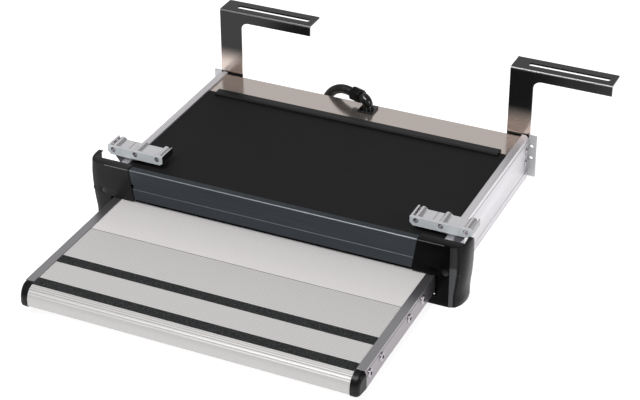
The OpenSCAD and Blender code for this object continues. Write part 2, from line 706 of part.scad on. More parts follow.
// Turn what is drawn pointing left towards the rear, about the elbow's upright axis
module turned() translate([elbow_x, elbow_y, 0]) rotate([0, 0, -elbow_turn])
  translate([-elbow_x, -elbow_y, 0]) children();

// Conduit elbow: square flange, collar and bend towards the left
module elbow() {
  difference() {
    union() {
      translate([elbow_x - gland_w / 2, elbow_y - gland_w / 2, sheet_z + sheet_t])
        cube([gland_w, gland_w, 4]);
      bar_z([elbow_x, elbow_y, sheet_z + sheet_t], elbow_dia + 3, elbow_base - 0.6);
    }
    bar_z([elbow_x, elbow_y, sheet_z - 1], elbow_dia - 4, 12);
  }
  turned() {
    bar_z([elbow_x, elbow_y, sheet_z + sheet_t + 2], elbow_dia, elbow_base - 2);
    translate([elbow_x - elbow_r, elbow_y, elbow_z - elbow_r]) rotate([90, 0, 0])
      rotate_extrude(angle = 90) translate([elbow_r, 0]) circle(d = elbow_dia);
    bar_x([elbow_x - elbow_r - 4, elbow_y, elbow_z], elbow_dia, 4);
  }
}

module union_nut() turned() difference() {
  union() {
    bar_x([nut_x0 - nut_l, elbow_y, elbow_z], elbow_dia + 2.6, nut_l);
    bar_x([nut_x0 - 5, elbow_y, elbow_z], elbow_dia + 5, 4);
  }
  bar_x([nut_x0 - nut_l - 1, elbow_y, elbow_z], hose_dia - 4, nut_l + 2);
}

// Two-way connector that the vehicle's harness plugs into, butted on the conduit's end
module connector() translate(hose_end) difference() {
  union() {
    bar_x([-12.3, 0, 0], hose_dia, 12);
    block([-40, -11, -hose_low + 0.1], [-12, 11, hose_low - 0.1]);
    block([-36, -4, hose_low - 0.2], [-16, 4, hose_low + 2]);
  }
  block([-41, -9, -5.5], [-24, 9, 5.5]);
}

// Hose swept along its route: rings of points square to a smoothed direction
function unit(v) = v / norm(v);
function dir_at(p, i) = unit(p[min(i + 1, len(p) - 1)] - p[max(i - 1, 0)]);
function side_of(t) = unit(cross(t, [0.1, 0.3, 1]));
function ring(c, t, r, n) = let (u = side_of(t), w = cross(u, t))
  [for (k = [0:n - 1]) c + r * (cos(360 * k / n) * u + sin(360 * k / n) * w)];
function spline(p, i, t) = let (a = p[max(i - 1, 0)], b = p[i], c = p[i + 1], d = p[min(i + 2, len(p) - 1)])
  0.5 * (2 * b + (c - a) * t + (2 * a - 5 * b + 4 * c - d) * t * t + (3 * b - a - 3 * c + d) * t * t * t);
function smooth(p, n) = concat([for (i = [0:len(p) - 2], k = [0:n - 1]) spline(p, i, k / n)], [p[len(p) - 1]]);

module swept(p, r, n, start) {
  t = [for (i = [0:len(p) - 1]) i == 0 ? start : dir_at(p, i)];
  pts = [for (i = [0:len(p) - 1]) each ring(p[i], t[i], r, n)];
  m = len(p);
  polyhedron(pts, concat(
    [[for (k = [0:n - 1]) n - 1 - k]],
    [for (i = [0:m - 2], k = [0:n - 1]) let (a = i * n + k, b = i * n + (k + 1) % n) [a, b, b + n]],
    [for (i = [0:m - 2], k = [0:n - 1]) let (a = i * n + k, b = i * n + (k + 1) % n) [a, b + n, a + n]],
    [[for (k = [0:n - 1]) (m - 1) * n + k]]));
}

module side_rail_left() color("gainsboro") place() flip() side_rail();
module side_rail_right() color("gainsboro") place() side_rail();
module front_profile() color("darkslategray") place() face_profile();
module end_cap_left() color("dimgray") place() flip() end_cap();
module end_cap_right() color("dimgray") place() end_cap();
module cap_plug_left() color("black") place() flip() cap_plug();
module cap_plug_right() color("black") place() cap_plug();
module top_cover() color("#2a2a2c") place() cover();
module cover_strip() color("#151515") place() seal_strip();
module rear_plate() color("#bdb4ac") place() plate();
module corner_bracket_left() color("silver") place() flip() corner_bracket();
module corner_bracket_right() color("silver") place() corner_bracket();
module corner_screws_left() color("silver") place() flip() corner_screws();
module corner_screws_right() color("silver") place() corner_screws();
module hanger_left() color("#6b6664") place() translate([-hang_pitch, 0, 0]) hanger();
module hanger_right() color("#6b6664") place() hanger();
module hanger_bolts_left() color("silver") place() translate([-hang_pitch, 0, 0]) hanger_bolts();
module hanger_bolts_right() color("silver") place() hanger_bolts();
module front_mount_left() color("white") place() translate([-block_pitch / 2, 0, 0]) mount_block();
module front_mount_right() color("white") place() translate([block_pitch / 2, 0, 0]) mount_block();
module mount_foot_left() color("slategray") place() flip() mount_foot_body();
module mount_foot_right() color("slategray") place() mount_foot_body();
module base_pan() color("darkgray") place() pan();
module front_sill() color("darkgray") place() sill();
module rear_crossbar() color("darkgray") place() crossbar_under();
module glide_left() color("ivory") place() flip() glide();
module glide_right() color("ivory") place() glide();
module spindle_bearing() color("gray") place() bearing_block();
module gearbox() color("gray") place() gearbox_body();
module gear_motor() color("dimgray") place() motor_body();
module conduit_elbow() color("black") place() elbow();
module conduit_nut() color("black") place() union_nut();
module conduit_hose() color("#202020") place() swept(smooth(hose_pts, 2), hose_dia / 2, 12,
  [-cos(elbow_turn), sin(elbow_turn), 0]);
module conduit_connector() color("#202020") place() connector();
module tread_front() color("lightgray") place() front_plank();
module tread_rear() color("lightgray") place() rear_plank();
module grip_front() color("black") place() grip(grip_edge);
module grip_rear() color("black") place() grip(grip_edge + grip_pitch);
module step_rail_left() color("gray") place() flip() step_rail();
module step_rail_right() color("gray") place() step_rail();
module step_cap_left() color("black") place() flip() step_cap();
module step_cap_right() color("black") place() step_cap();
module rail_screws_left() color("silver") place() flip() rail_screws();
module rail_screws_right() color("silver") place() rail_screws();
module step_crossbar() color("silver") place() crossbar_step();
module nut_bracket() color("silver") place() nut_lug();
module drive_nut() color("goldenrod") place() nut_body();
module wheel_pin_left() color("silver") place() flip() wheel_pin();
module wheel_pin_right() color("silver") place() wheel_pin();
module spindle() color("silver") place() spindle_body();
module wheel_left() color("ivory") place() flip() track_wheel();
module wheel_right() color("ivory") place() track_wheel();

side_rail_left();
side_rail_right();
front_profile();
end_cap_left();
end_cap_right();
cap_plug_left();
cap_plug_right();
top_cover();
cover_strip();
rear_plate();
corner_bracket_left();
corner_bracket_right();
corner_screws_left();
corner_screws_right();
hanger_left();
hanger_right();
hanger_bolts_left();
hanger_bolts_right();
front_mount_left();
front_mount_right();
mount_foot_left();
mount_foot_right();
base_pan();
front_sill();
rear_crossbar();
glide_left();
glide_right();
spindle_bearing();
gearbox();
gear_motor();
conduit_elbow();
conduit_nut();
conduit_hose();
conduit_connector();
tread_front();
tread_rear();
grip_front();
grip_rear();
step_rail_left();
step_rail_right();
step_cap_left();
step_cap_right();
rail_screws_left();
rail_screws_right();
step_crossbar();
nut_bracket();
drive_nut();
wheel_pin_left();
wheel_pin_right();
spindle();
wheel_left();
wheel_right();
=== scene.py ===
import json
import math
import bmesh
import bpy
import numpy as np
from mathutils import Matrix, Vector


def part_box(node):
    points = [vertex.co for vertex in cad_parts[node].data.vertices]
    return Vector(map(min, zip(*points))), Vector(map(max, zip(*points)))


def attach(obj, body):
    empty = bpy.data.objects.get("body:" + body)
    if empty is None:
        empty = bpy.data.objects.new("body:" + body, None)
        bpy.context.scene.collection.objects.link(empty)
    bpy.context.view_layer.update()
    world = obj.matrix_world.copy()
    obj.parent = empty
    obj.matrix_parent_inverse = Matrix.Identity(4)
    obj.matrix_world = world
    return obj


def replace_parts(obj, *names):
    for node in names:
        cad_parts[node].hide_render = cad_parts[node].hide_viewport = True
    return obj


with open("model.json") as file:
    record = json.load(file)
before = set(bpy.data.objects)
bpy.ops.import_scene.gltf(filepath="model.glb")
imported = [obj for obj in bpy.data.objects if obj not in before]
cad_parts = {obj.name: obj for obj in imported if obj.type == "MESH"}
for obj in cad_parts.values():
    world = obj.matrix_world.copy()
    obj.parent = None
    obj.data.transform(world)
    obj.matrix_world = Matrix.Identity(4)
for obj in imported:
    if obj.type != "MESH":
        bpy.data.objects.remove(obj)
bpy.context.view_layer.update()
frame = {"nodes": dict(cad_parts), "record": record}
print("frame:", len(frame["nodes"]), "nodes")

# Lengths are millimetres, and places are measured from the middle of the cassette's front face, as in the
# CAD source. The frame's origin lies behind that face, under the middle of the front sill. Finishes work in
# the frame's metres.
sillMiddle = round(-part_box("front_profile")[0][1] * 1000, 2)
frontY = -sillMiddle / 1000  # the front face in the frame's metres


def limits(node, axis):  # where a CAD node begins and ends along x, y or z
    shift = sillMiddle if axis == "y" else 0.0
    return [round(corner["xyz".index(axis)] * 1000 + shift, 2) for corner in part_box(node)]


def place(points):  # millimetres from the cassette's front to the frame's metres
    return (np.asarray(points, float) - [0, sillMiddle, 0]) / 1000


shape = {"tread": limits("tread_rear", "z")[1], "plankBase": limits("tread_rear", "z")[0],
         "noseBase": limits("tread_front", "z")[0], "nose": -280.0, "noseRadius": 20.0,
         "seam": limits("tread_front", "y")[1], "tail": limits("tread_rear", "y")[1],
         "railInner": limits("tread_front", "x")[1], "railOuter": limits("step_rail_right", "x")[1]}

camera = {"place": (1.0550, -2.1043, 1.5374), "azimuth": 24.830, "elevation": 31.328, "roll": -0.280,
          "focalPixels": 1796.8, "width": 640, "sensor": 36.0, "reach": 60.0}


def makeCamera(c):  # looks from azimuth and elevation, turned a little about its own axis
    a, e, r = (math.radians(c[k]) for k in ("azimuth", "elevation", "roll"))
    back = Vector((math.sin(a) * math.cos(e), -math.cos(a) * math.cos(e), math.sin(e)))
    right = Vector((math.cos(a), math.sin(a), 0))
    up = back.cross(right)
    side = right * math.cos(r) + up * math.sin(r)
    top = up * math.cos(r) - right * math.sin(r)
    data = bpy.data.cameras.new("camera")
    data.sensor_width = c["sensor"]
    data.lens = c["focalPixels"] / c["width"] * c["sensor"]
    data.clip_end = c["reach"]
    thing = bpy.data.objects.new("camera", data)
    thing.matrix_world = Matrix.Translation(c["place"]) @ Matrix((side, top, back)).transposed().to_4x4()
    bpy.context.scene.collection.objects.link(thing)
    bpy.context.scene.camera = thing


makeCamera(camera)
print("camera set")


class Signal:  # one output socket; arithmetic on it adds Math nodes
    def __init__(self, tree, socket):
        self.tree, self.socket = tree, socket

    def calc(self, operation, *values):
        step = self.tree.nodes.new("ShaderNodeMath")
        step.operation = operation
        for slot, value in zip(step.inputs, values):
            feed(self.tree, slot, value)
        return Signal(self.tree, step.outputs[0])

    def __add__(self, other):
        return self.calc("ADD", self, other)

    def __radd__(self, other):
        return self.calc("ADD", other, self)

    def __sub__(self, other):
        return self.calc("SUBTRACT", self, other)

    def __rsub__(self, other):
        return self.calc("SUBTRACT", other, self)

    def __mul__(self, other):
        return self.calc("MULTIPLY", self, other)

    def __rmul__(self, other):
        return self.calc("MULTIPLY", other, self)

    def __truediv__(self, other):
        return self.calc("DIVIDE", self, other)

    def __rtruediv__(self, other):
        return self.calc("DIVIDE", other, self)

    def __gt__(self, other):
        return self.calc("GREATER_THAN", self, other)

    def __lt__(self, other):
        return self.calc("LESS_THAN", self, other)

    def __abs__(self):
        return self.calc("ABSOLUTE", self)

    def clip(self):  # held between 0 and 1
        held = self + 0.0
        held.socket.node.use_clamp = True
        return held


def feed(tree, slot, value):  # a link from a Signal, or a fixed value
    if isinstance(value, Signal):
        tree.links.new(value.socket, slot)
    else:
        slot.default_value = value


even = (1, 1, 1)
along = {"x": (0.02, 1, 1), "y": (1, 0.02, 1), "z": (1, 1, 0.02)}  # stretches a noise into lines


class Finish:  # one material, built up around its Principled shader
    def __init__(self, name, **constants):
        self.material = bpy.data.materials.new(name)
        self.material.use_nodes = True
        self.tree = self.material.node_tree
        self.shader = self.tree.nodes["Principled BSDF"]
        for key, value in constants.items():
            self.shader.inputs[key.replace("_", " ")].default_value = value

    def node(self, kind, settings={}, inputs={}):  # its outputs by name, a colour's with its type added
        made = self.tree.nodes.new("ShaderNode" + kind)
        for key, value in settings.items():
            setattr(made, key, value)
        for key, value in inputs.items():
            feed(self.tree, made.inputs[key], value)
        return {s.name if s.name not in ("Result", "Color") else s.name + s.type: Signal(self.tree, s)
                for s in made.outputs if s.enabled}

    def where(self, stretch=even):  # object coordinates, stretched
        spot = self.node("TexCoord")["Object"]
        return self.node("Mapping", {}, {"Vector": spot, "Scale": stretch})["Vector"]

    def axes(self):  # object coordinates x, y and z, in metres
        parts = self.node("SeparateXYZ", {}, {"Vector": self.node("TexCoord")["Object"]})
        return parts["X"], parts["Y"], parts["Z"]

    def mark(self, name):  # a value per corner of the mesh
        return self.node("Attribute", {"attribute_name": name})["Fac"]

    def noise(self, scale, stretch=even, detail=2.0, rough=0.5):
        return self.node("TexNoise", {}, {"Vector": self.where(stretch), "Scale": scale,
                                          "Detail": detail, "Roughness": rough})["Fac"]

    def lines(self, axis, scale=900, rough=0.6):  # fine lines, as a die or a brush leaves them
        return self.noise(scale, along[axis], detail=3, rough=rough)

    def clouds(self, scale=14, rough=0.5):  # broad soft patches
        return self.noise(scale, detail=3, rough=rough)

    def pebbles(self, scale):  # the grain of a mould
        return self.noise(scale, rough=0.55)

    def blend(self, mask, a, b):  # colour mix
        return self.node("Mix", {"data_type": "RGBA"}, {0: mask, 6: a, 7: b})["ResultRGBA"]

    def relief(self, height, depth, edge=0.0, strength=1.0):  # bump over softly rounded edges
        inputs = {"Height": height, "Distance": depth, "Strength": strength}
        if edge:
            inputs["Normal"] = self.node("Bevel", {"samples": 4}, {"Radius": edge})["Normal"]
        self.put("Normal", self.node("Bump", {}, inputs)["Normal"])

    def put(self, socket, value):
        feed(self.tree, self.shader.inputs[socket], value)


def rgb(*levels):  # sRGB levels 0 to 255 to linear
    return tuple(((v / 255 + 0.055) / 1.055) ** 2.4 if v > 10 else v / 255 / 12.92 for v in levels)


def tone(colour, factor=1.0):  # a colour made darker or lighter, for a socket
    return (*(min(1.0, c * factor) for c in colour), 1.0)


die = {"lineShare": 0.6, "bandScale": 130, "bandContrast": 3, "bandTone": 0.5, "cloudGloss": 0.5,
       "depth": 0.00006}


def metal(name, colour, rough, grain="y", lines=0.25, edge=0.0006, spread=0.08, tint=0.06, bare=1.0,
          bands=0.0):
    # drawn metal: fine die lines along one axis, cloudy gloss, softened edges; bare is below 1 under an
    # anodised skin, bands is the share of the die's broader dull streaks
    f = Finish(name, Metallic=bare)
    line, cloud = f.lines(grain), f.clouds()
    mixed = (line * die["lineShare"] + cloud * (1 - die["lineShare"])).clip()
    skin = f.blend(mixed, tone(colour, 1 - tint), tone(colour, 1 + tint))
    if bands:
        streak = ((f.noise(die["bandScale"], along[grain]) - 0.5) * die["bandContrast"] + 0.5).clip()
        skin = f.blend(streak * bands, skin, tone(colour, die["bandTone"]))
    f.put("Base Color", skin)
    gloss = line * spread * lines + cloud * spread * die["cloudGloss"]
    f.put("Roughness", (rough - spread / 2 + gloss).clip())
    f.relief(line, die["depth"], edge, lines / 2)
    return f


mould = {"cloudScale": 22, "cloudRough": 0.6, "tint": 0.14, "shine": 0.05, "cloudWear": 0.07,
         "grainWear": 0.05, "coatRough": 0.12}


def mouldedSkin(f, colour, rough, grain):
    # sets a gloss that follows wear and grain; gives the grain, and the colour with its cloudy wear
    pebble, cloud = f.pebbles(grain), f.clouds(mould["cloudScale"], mould["cloudRough"])
    f.put("Roughness", (rough + cloud * mould["cloudWear"] + pebble * mould["grainWear"]).clip())
    return pebble, f.blend(cloud, tone(colour, 1 - mould["tint"]), tone(colour, 1 + mould["tint"]))


def plastic(name, colour, rough, grain, depth, edge=0.0, coat=0.0, gloss=0.5):
    # moulded or painted skin: a fine pebble grain, slight wear in the gloss
    f = Finish(name, Coat_Weight=coat, Coat_Roughness=mould["coatRough"], Specular_IOR_Level=gloss)
    pebble, skin = mouldedSkin(f, colour, rough - mould["shine"], grain)
    f.put("Base Color", skin)
    f.relief(pebble, depth, edge)
    return f


grip = {"dark": rgb(16, 17, 18), "bright": rgb(84, 86, 88), "gloss": 0.4, "grains": 2300, "dull": 0.78,
        "contrast": 6, "patchScale": 260, "patchShare": 2, "rough": 0.85, "sparkShine": 0.35,
        "height": 1.3, "depth": 0.0003, "strength": 0.8}


def gripTape(g):
    # grit bonded on a strip: sharp grains; those above the dull share are glossier and carry a painted glint
    # in their colour
    f = Finish("gripTape", Specular_IOR_Level=g["gloss"])
    grain = f.node("TexVoronoi", {"feature": "F1"}, {"Vector": f.where(), "Scale": g["grains"]})
    turned = f.node("SeparateColor", {}, {"Color": grain["ColorRGBA"]})["Red"]
    patch = f.noise(g["patchScale"], rough=0.6)
    glint = ((turned - g["dull"]) * g["contrast"] + (patch - 0.5) * g["patchShare"]).clip()
    f.put("Base Color", f.blend(glint, tone(g["dark"]), tone(g["bright"])))
    f.put("Roughness", (g["rough"] - glint * g["sparkShine"]).clip())
    f.relief(1.0 - grain["Distance"] * g["height"], g["depth"], strength=g["strength"])
    return f


# the hanger's colours are painted light: dark above and warm below are painted reflections, the bend's tone a
# painted highlight
hanger = {"dark": rgb(25, 25, 26), "warm": rgb(206, 191, 182), "worn": (0.7, 0.7, 0.72, 1),
          "clearing": (0.102, 0.140), "foot": (0.0835, 0.0895),
          "bendAbove": 0.2052, "bendBefore": 0.3862, "bendShare": 0.3,
          "lineScale": 700, "lineTone": (0.88, 0.24), "darkMetal": 0.25, "rough": 0.2, "lineRough": 0.06}


def hangerSteel(h):
    # polished steel with painted reflections: dark above, it clears smoothly (t t (3 - 2 t)) to a warm grey
    # downwards, a painted reflection of the plate; a painted highlight lightens it along the bend, and a
    # painted shadow line marks the foot
    f = Finish("polishedSteel")
    y, z = f.axes()[1:]
    line = f.lines("z", h["lineScale"])
    clearTo, clearFrom = h["clearing"]
    t = ((clearFrom - z) / (clearFrom - clearTo)).clip()
    low = t * t * (3.0 - 2.0 * t) * (1.0 - (z < h["foot"][1]) * (z > h["foot"][0]))
    bendHighlight = (z > h["bendAbove"]) * (y < h["bendBefore"]) * h["bendShare"]
    shade = (low * (h["lineTone"][0] + line * h["lineTone"][1])).clip()
    f.put("Base Color", f.blend(bendHighlight, f.blend(shade, tone(h["dark"]), tone(h["warm"])), h["worn"]))
    f.put("Metallic", (h["darkMetal"] + (low + bendHighlight).clip() * (1 - h["darkMetal"])).clip())
    f.put("Roughness", (h["rough"] + line * h["lineRough"]).clip())
    f.relief(line, depth=0.00004, edge=0.0005, strength=0.15)
    return f


anodised = {"cloudScale": 9, "tint": 0.015, "metal": 0.2, "rough": 0.42, "lineRough": 0.06, "rubShine": 0.12}


def treadMetal(name, colour, shadeTone, rubbed):
    # satin anodised, ribbed: painted shade darkens the grooves, the seam and the nose's lower face (the shade
    # mark); the raised beads are bare, glossier and more metallic, with a painted highlight in their colour
    # (the bead mark)
    f, s = Finish(name), anodised
    line, cloud = f.lines("x"), f.clouds(s["cloudScale"])
    deep, rub = f.mark("hollow"), f.mark("rub")
    mixed = (line * 0.5 + cloud * 0.5).clip()
    land = f.blend(mixed, tone(colour, 1 - s["tint"]), tone(colour, 1 + s["tint"]))
    f.put("Base Color", f.blend(rub, f.blend(deep, land, tone(shadeTone)), tone(rubbed)))
    f.put("Metallic", (s["metal"] + rub * s["metal"]).clip())
    f.put("Roughness", (s["rough"] + line * s["lineRough"] - rub * s["rubShine"]).clip())
    f.relief(line, depth=0.00004, strength=0.25)
    return f


plated = {"colour": rgb(172, 166, 172), "socket": rgb(12, 12, 13), "cloudScale": 700, "socketMetal": 0.1,
          "rough": 0.12, "cloudRough": 0.1, "socketRough": 0.5}


def screwMetal(s):
    # bright plated steel, with painted shade where the shade mark lies in a socket
    f = Finish("screwSteel")
    hollow = f.mark("hollow")
    cloud = f.noise(s["cloudScale"])
    f.put("Base Color", f.blend(hollow, tone(s["colour"]), tone(s["socket"])))
    f.put("Metallic", (1.0 - hollow * (1 - s["socketMetal"])).clip())
    f.put("Roughness", (s["rough"] + cloud * s["cloudRough"] + hollow * s["socketRough"]).clip())
    return f


cap = {"black": rgb(8, 8, 9), "lit": rgb(29, 29, 30), "pale": rgb(205, 207, 210), "gloss": 0.13,
       "rough": 0.22, "grain": 1500, "depth": 0.00004, "edge": 0.0006, "frontMetal": 0.75,
       "edgeX": (0.238, 0.2885), "edgeY": frontY + 0.0016, "edgeZ": (0.1062, 0.1076), "edgeShare": 0.24,
       "cornerX": 0.2985, "cornerY": frontY + 0.002, "cornerShare": 0.1,
       "fadeAbove": 0.072, "fadeSlope": 250.0, "faded": 0.3}


def capPlastic(c):
    # moulded black with a fine grain; painted light makes the left cap lighter, a painted highlight is a pale
    # line along the top of the front and a fainter one down the right cap's corner, weaker above fadeAbove;
    # painted shade: metallic darkens the right cap's front
    f = Finish("capBlack", Specular_IOR_Level=c["gloss"])
    x, y, z = f.axes()
    wide, face = abs(x), y < c["edgeY"]
    edge = (wide > c["edgeX"][0]) * (wide < c["edgeX"][1]) * face * (z > c["edgeZ"][0]) * (z < c["edgeZ"][1])
    strength = c["faded"] + ((c["fadeAbove"] - z) * c["fadeSlope"]).clip() * (1 - c["faded"])
    corner = (x > c["cornerX"]) * (y < c["cornerY"]) * (z < c["edgeZ"][0]) * strength
    grain, skin = mouldedSkin(f, c["black"], c["rough"], c["grain"])
    skin = f.blend(x < 0.0, skin, tone(c["lit"]))
    rubbed = (edge * c["edgeShare"] + corner * c["cornerShare"]).clip()
    f.put("Base Color", f.blend(rubbed, skin, tone(c["pale"])))
    f.put("Metallic", (x > 0.0) * (x < c["cornerX"]) * face * c["frontMetal"])
    f.relief(grain, c["depth"], c["edge"])
    return f


blockFrom, blockTo = limits("front_mount_right", "x")
block = {"side": rgb(235, 233, 236), "face": rgb(236, 242, 245), "faceTo": frontY + 0.0523,
         "ends": ((blockFrom + 0.6) / 1000, (blockTo - 0.6) / 1000), "endTone": 0.3, "tones": (0.88, 1.1),
         "faceMetal": 0.08, "rough": 0.1, "lineRough": 0.1, "sawnRough": 0.35}


def blockMetal(b):
    # milled bar: bright and brushed along y on its sides and ridges, matt where it is sawn off in front (y
    # below faceTo), duller at its two ends across (distance from the middle line)
    f = Finish("blockAluminium")
    x, y = f.axes()[:2]
    line = f.lines("y", scale=800, rough=0.65)
    sawn = y < b["faceTo"]
    cut = ((abs(x) > b["ends"][1]) + (abs(x) < b["ends"][0])).clip() * (1.0 - sawn)
    bright = f.blend(line, tone(b["side"], b["tones"][0]), tone(b["side"], b["tones"][1]))
    colour = f.blend(sawn, bright, tone(b["face"]))
    f.put("Base Color", f.blend(cut, colour, tone(b["side"], b["endTone"])))
    f.put("Metallic", (1.0 - sawn * (1 - b["faceMetal"])).clip())
    f.put("Roughness", (b["rough"] + line * b["lineRough"] + sawn * b["sawnRough"]).clip())
    f.relief(line, depth=0.00006, edge=0.0005, strength=0.3)
    return f


stepRail = {"side": rgb(143, 137, 142), "top": rgb(166, 164, 167), "topFrom": (shape["tread"] - 0.6) / 1000,
            "metal": 0.9, "streaks": 0.08, "rough": 0.27, "lineRough": 0.06}


def stepRailMetal(r):
    # drawn aluminium; painted light: paler on its upper face (z above its top's height), darker on its sides
    f = Finish("greyAluminium", Metallic=r["metal"])
    z = f.axes()[2]
    line, cloud = f.lines("y"), f.clouds()
    colour = f.blend(z > r["topFrom"], tone(r["side"]), tone(r["top"]))
    darker = f.blend(r["streaks"], colour, (0, 0, 0, 1))
    f.put("Base Color", f.blend((line * 0.5 + cloud * 0.5).clip(), colour, darker))
    f.put("Roughness", (r["rough"] + line * r["lineRough"]).clip())
    f.relief(line, depth=0.00005, edge=0.0006, strength=0.25)
    return f


profile = {"colour": rgb(42, 49, 55), "pale": rgb(205, 208, 212), "gap": (0.002, 0.002, 0.002, 1),
           "edges": [(frontY + 0.0014, 0.1064, 0.1078, 0.2), (frontY + 0.0007, 0.0733, 0.0748, 0.22)],
           "gapSlope": 0.1481, "gapTo": -0.2273, "metal": 0.75, "streakScale": 420, "streakPale": 0.05,
           "rough": 0.34, "streakRough": 0.1}


def profilePaint(p):
    # dark anodised profile: fine streaks along it; painted highlights as pale lines along its edges (y limit,
    # height from, height to, share), and painted shade for the dark gap beside the left cap, where x +
    # gapSlope z is below gapTo
    f = Finish("charcoalProfile", Metallic=p["metal"])
    x, y, z = f.axes()
    streak = f.lines("x", p["streakScale"])
    edges = sum(((y < limit) * (z > low) * (z < high) * share for limit, low, high, share in p["edges"]), 0.0)
    skin = f.blend((edges + streak * p["streakPale"]).clip(), tone(p["colour"]), tone(p["pale"]))
    f.put("Base Color", f.blend(x + z * p["gapSlope"] < p["gapTo"], skin, p["gap"]))
    f.put("Roughness", (p["rough"] + streak * p["streakRough"]).clip())
    f.relief(streak, depth=0.00005, edge=0.0006, strength=0.3)
    return f


deepBlack = rgb(8, 8, 9)
finishes = {
    "rail_aluminium": metal("railAluminium", rgb(222, 219, 223), rough=0.34, lines=0.9, spread=0.12,
                            bare=0.6, bands=0.35),
    "charcoal_paint": profilePaint(profile),
    "black_plastic": plastic("blackPlastic", deepBlack, rough=0.30, grain=1500, depth=0.00004, edge=0.0008,
                             gloss=0.22),
    "black_cover": plastic("blackCover", rgb(31, 31, 32), rough=0.6, grain=2200, depth=0.00005,
                           edge=0.0004, gloss=0.08),
    "black_rubber": plastic("blackRubber", rgb(7, 7, 8), rough=0.4, grain=1200, depth=0.00006,
                            edge=0.0006, gloss=0.4),
    "stainless": metal("stainless", rgb(214, 203, 197), rough=0.17, grain="x", lines=0.5, edge=0.0005,
                       spread=0.06, tint=0.03, bare=0.9),
    "polished_steel": hangerSteel(hanger),
    "screw_steel": screwMetal(plated),
    "block_aluminium": blockMetal(block),
    "foot_aluminium": metal("footAluminium", rgb(150, 152, 158), rough=0.40, lines=0.5, bare=0.6),
    "dark_steel": plastic("darkSteel", rgb(52, 53, 56), rough=0.45, grain=1100, depth=0.0001, edge=0.0008),
    "zinc_steel": metal("zincSteel", rgb(178, 180, 184), rough=0.42, grain="x", lines=0.3, edge=0.0005),
    "white_nylon": plastic("whiteNylon", rgb(225, 223, 214), rough=0.45, grain=900, depth=0.00005,
                           edge=0.0008),
    "gloss_black": plastic("glossBlack", deepBlack, rough=0.14, grain=500, depth=0.00002, edge=0.001,
                           coat=0.3),
    "tread_aluminium": treadMetal("treadAluminium", rgb(208, 206, 205), shadeTone=rgb(100, 98, 97),
                                  rubbed=rgb(214, 214, 214)),
    "grip_tape": gripTape(grip),
    "grey_aluminium": stepRailMetal(stepRail),
    "bronze": metal("bronze", rgb(176, 132, 74), rough=0.35, lines=0.3),
}
# a lighter copy of the tread finish for the rear plank: painted light
rearPlankLitMetal = treadMetal("treadAluminiumRearLit", rgb(232, 228, 228), shadeTone=rgb(110, 107, 106),
                            rubbed=rgb(246, 246, 246))
capBlack = capPlastic(cap)
shadeBlack = plastic("shadeBlack", rgb(3, 3, 3), rough=0.9, grain=900, depth=0.00004, gloss=0.05)
plugBlack = plastic("plugBlack", rgb(12, 12, 13), rough=0.26, grain=1500, depth=0.00003, gloss=0.4)
bracketSteel = metal("bracketSteel", rgb(186, 186, 188), rough=0.36, grain="z", lines=0.4, edge=0.0004,
                     tint=0.05, bare=0.6)
slotOf = {part["node"]: part["material_slot"] for part in frame["record"]["subparts"]}
for node, slot in slotOf.items():
    chosen = bracketSteel if node.startswith("corner_bracket") else finishes[slot]
    skins = frame["nodes"][node].data.materials
    skins.clear()
    skins.append(chosen.material)
print("finishes:", len(finishes))


def ringFaces(rows, n):
    # quads that join each ring of n corners to the next, and a face over the first ring and over the last
    start, c = np.arange(rows - 1)[:, None] * n, np.arange(n)[None]
    after = (c + 1) % n
    quads = np.stack([start + c, start + after, start + n + after, start + n + c], -1).reshape(-1, 4)
    return list(quads) + [np.arange(n)[::-1], (rows - 1) * n + np.arange(n)]


def flipped(faces):  # the same faces turned to the other side
    return [face[::-1] for face in faces]


def surface(name, points, faces, finish, body="cassette", sharp=35):
    # one finished piece from arrays of corners (metres) and faces; edges turned by more than sharp
    # degrees stay crisp
    mesh = bpy.data.meshes.new(name)
    mesh.from_pydata(points.tolist(), [], [list(map(int, face)) for face in faces])
    mesh.polygons.foreach_set("use_smooth", np.full(len(mesh.polygons), True))
    mesh.materials.append(finish.material)
    mesh.update()
    mesh.set_sharp_from_angle(angle=math.radians(sharp))
    thing = bpy.data.objects.new(name, mesh)
    bpy.context.scene.collection.objects.link(thing)
    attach(thing, body)
    return thing


def setMark(piece, name, values):  # a value per corner, which the finishes read
    piece.data.attributes.new(name, "FLOAT", "POINT").data.foreach_set("value", values.astype(np.float32))


elbow = {"place": (5.5, 373.0, 106.0), "turn": 22.0}  # the mouth that the conduit leaves; degrees
hoseRoute = {"nutEnd": 32.3, "diameter": 16.0, "clearance": 0.2, "ribPitch": 2.6, "ribDepth": 0.45,
             "ribFlat": 1.6, "ringsPerRib": 6, "turnedIn": 2.2, "sides": 28, "samples": 1200, "run": [
                 (0, 0, 1), (-11.1, 4.5, 1), (-26.2, 10.7, 0.978), (-40.3, 16.6, 0.911), (-52.4, 21.9, 0.807),
                 (-61.7, 26.1, 0.67), (-67.6, 29, 0.511), (-73.8, 31.2, 0.345), (-84, 32.8, 0.203),
                 (-97.4, 33.9, 0.093), (-113.1, 34.4, 0.024), (-129.9, 34.3, 0), (-148.3, 34.1, 0),
                 (-170.3, 33.9, 0), (-192.3, 33.7, 0), (-214.3, 33.5, 0), (-234.3, 33.3, 0)]}


def routePoints(h, e):
    # the conduit's middle line as the CAD source lays it: x and y from the nut's end, and the share of
    # the elbow's height above the ground
    turn, low = math.radians(e["turn"]), h["diameter"] / 2 + h["clearance"]
    ex, ey, ez = e["place"]
    run = np.array(h["run"], float)
    x = ex - h["nutEnd"] * math.cos(turn) + run[:, 0]
    y = ey + h["nutEnd"] * math.sin(turn) + run[:, 1]
    return np.column_stack([x, y, low + (ez - low) * run[:, 2]])


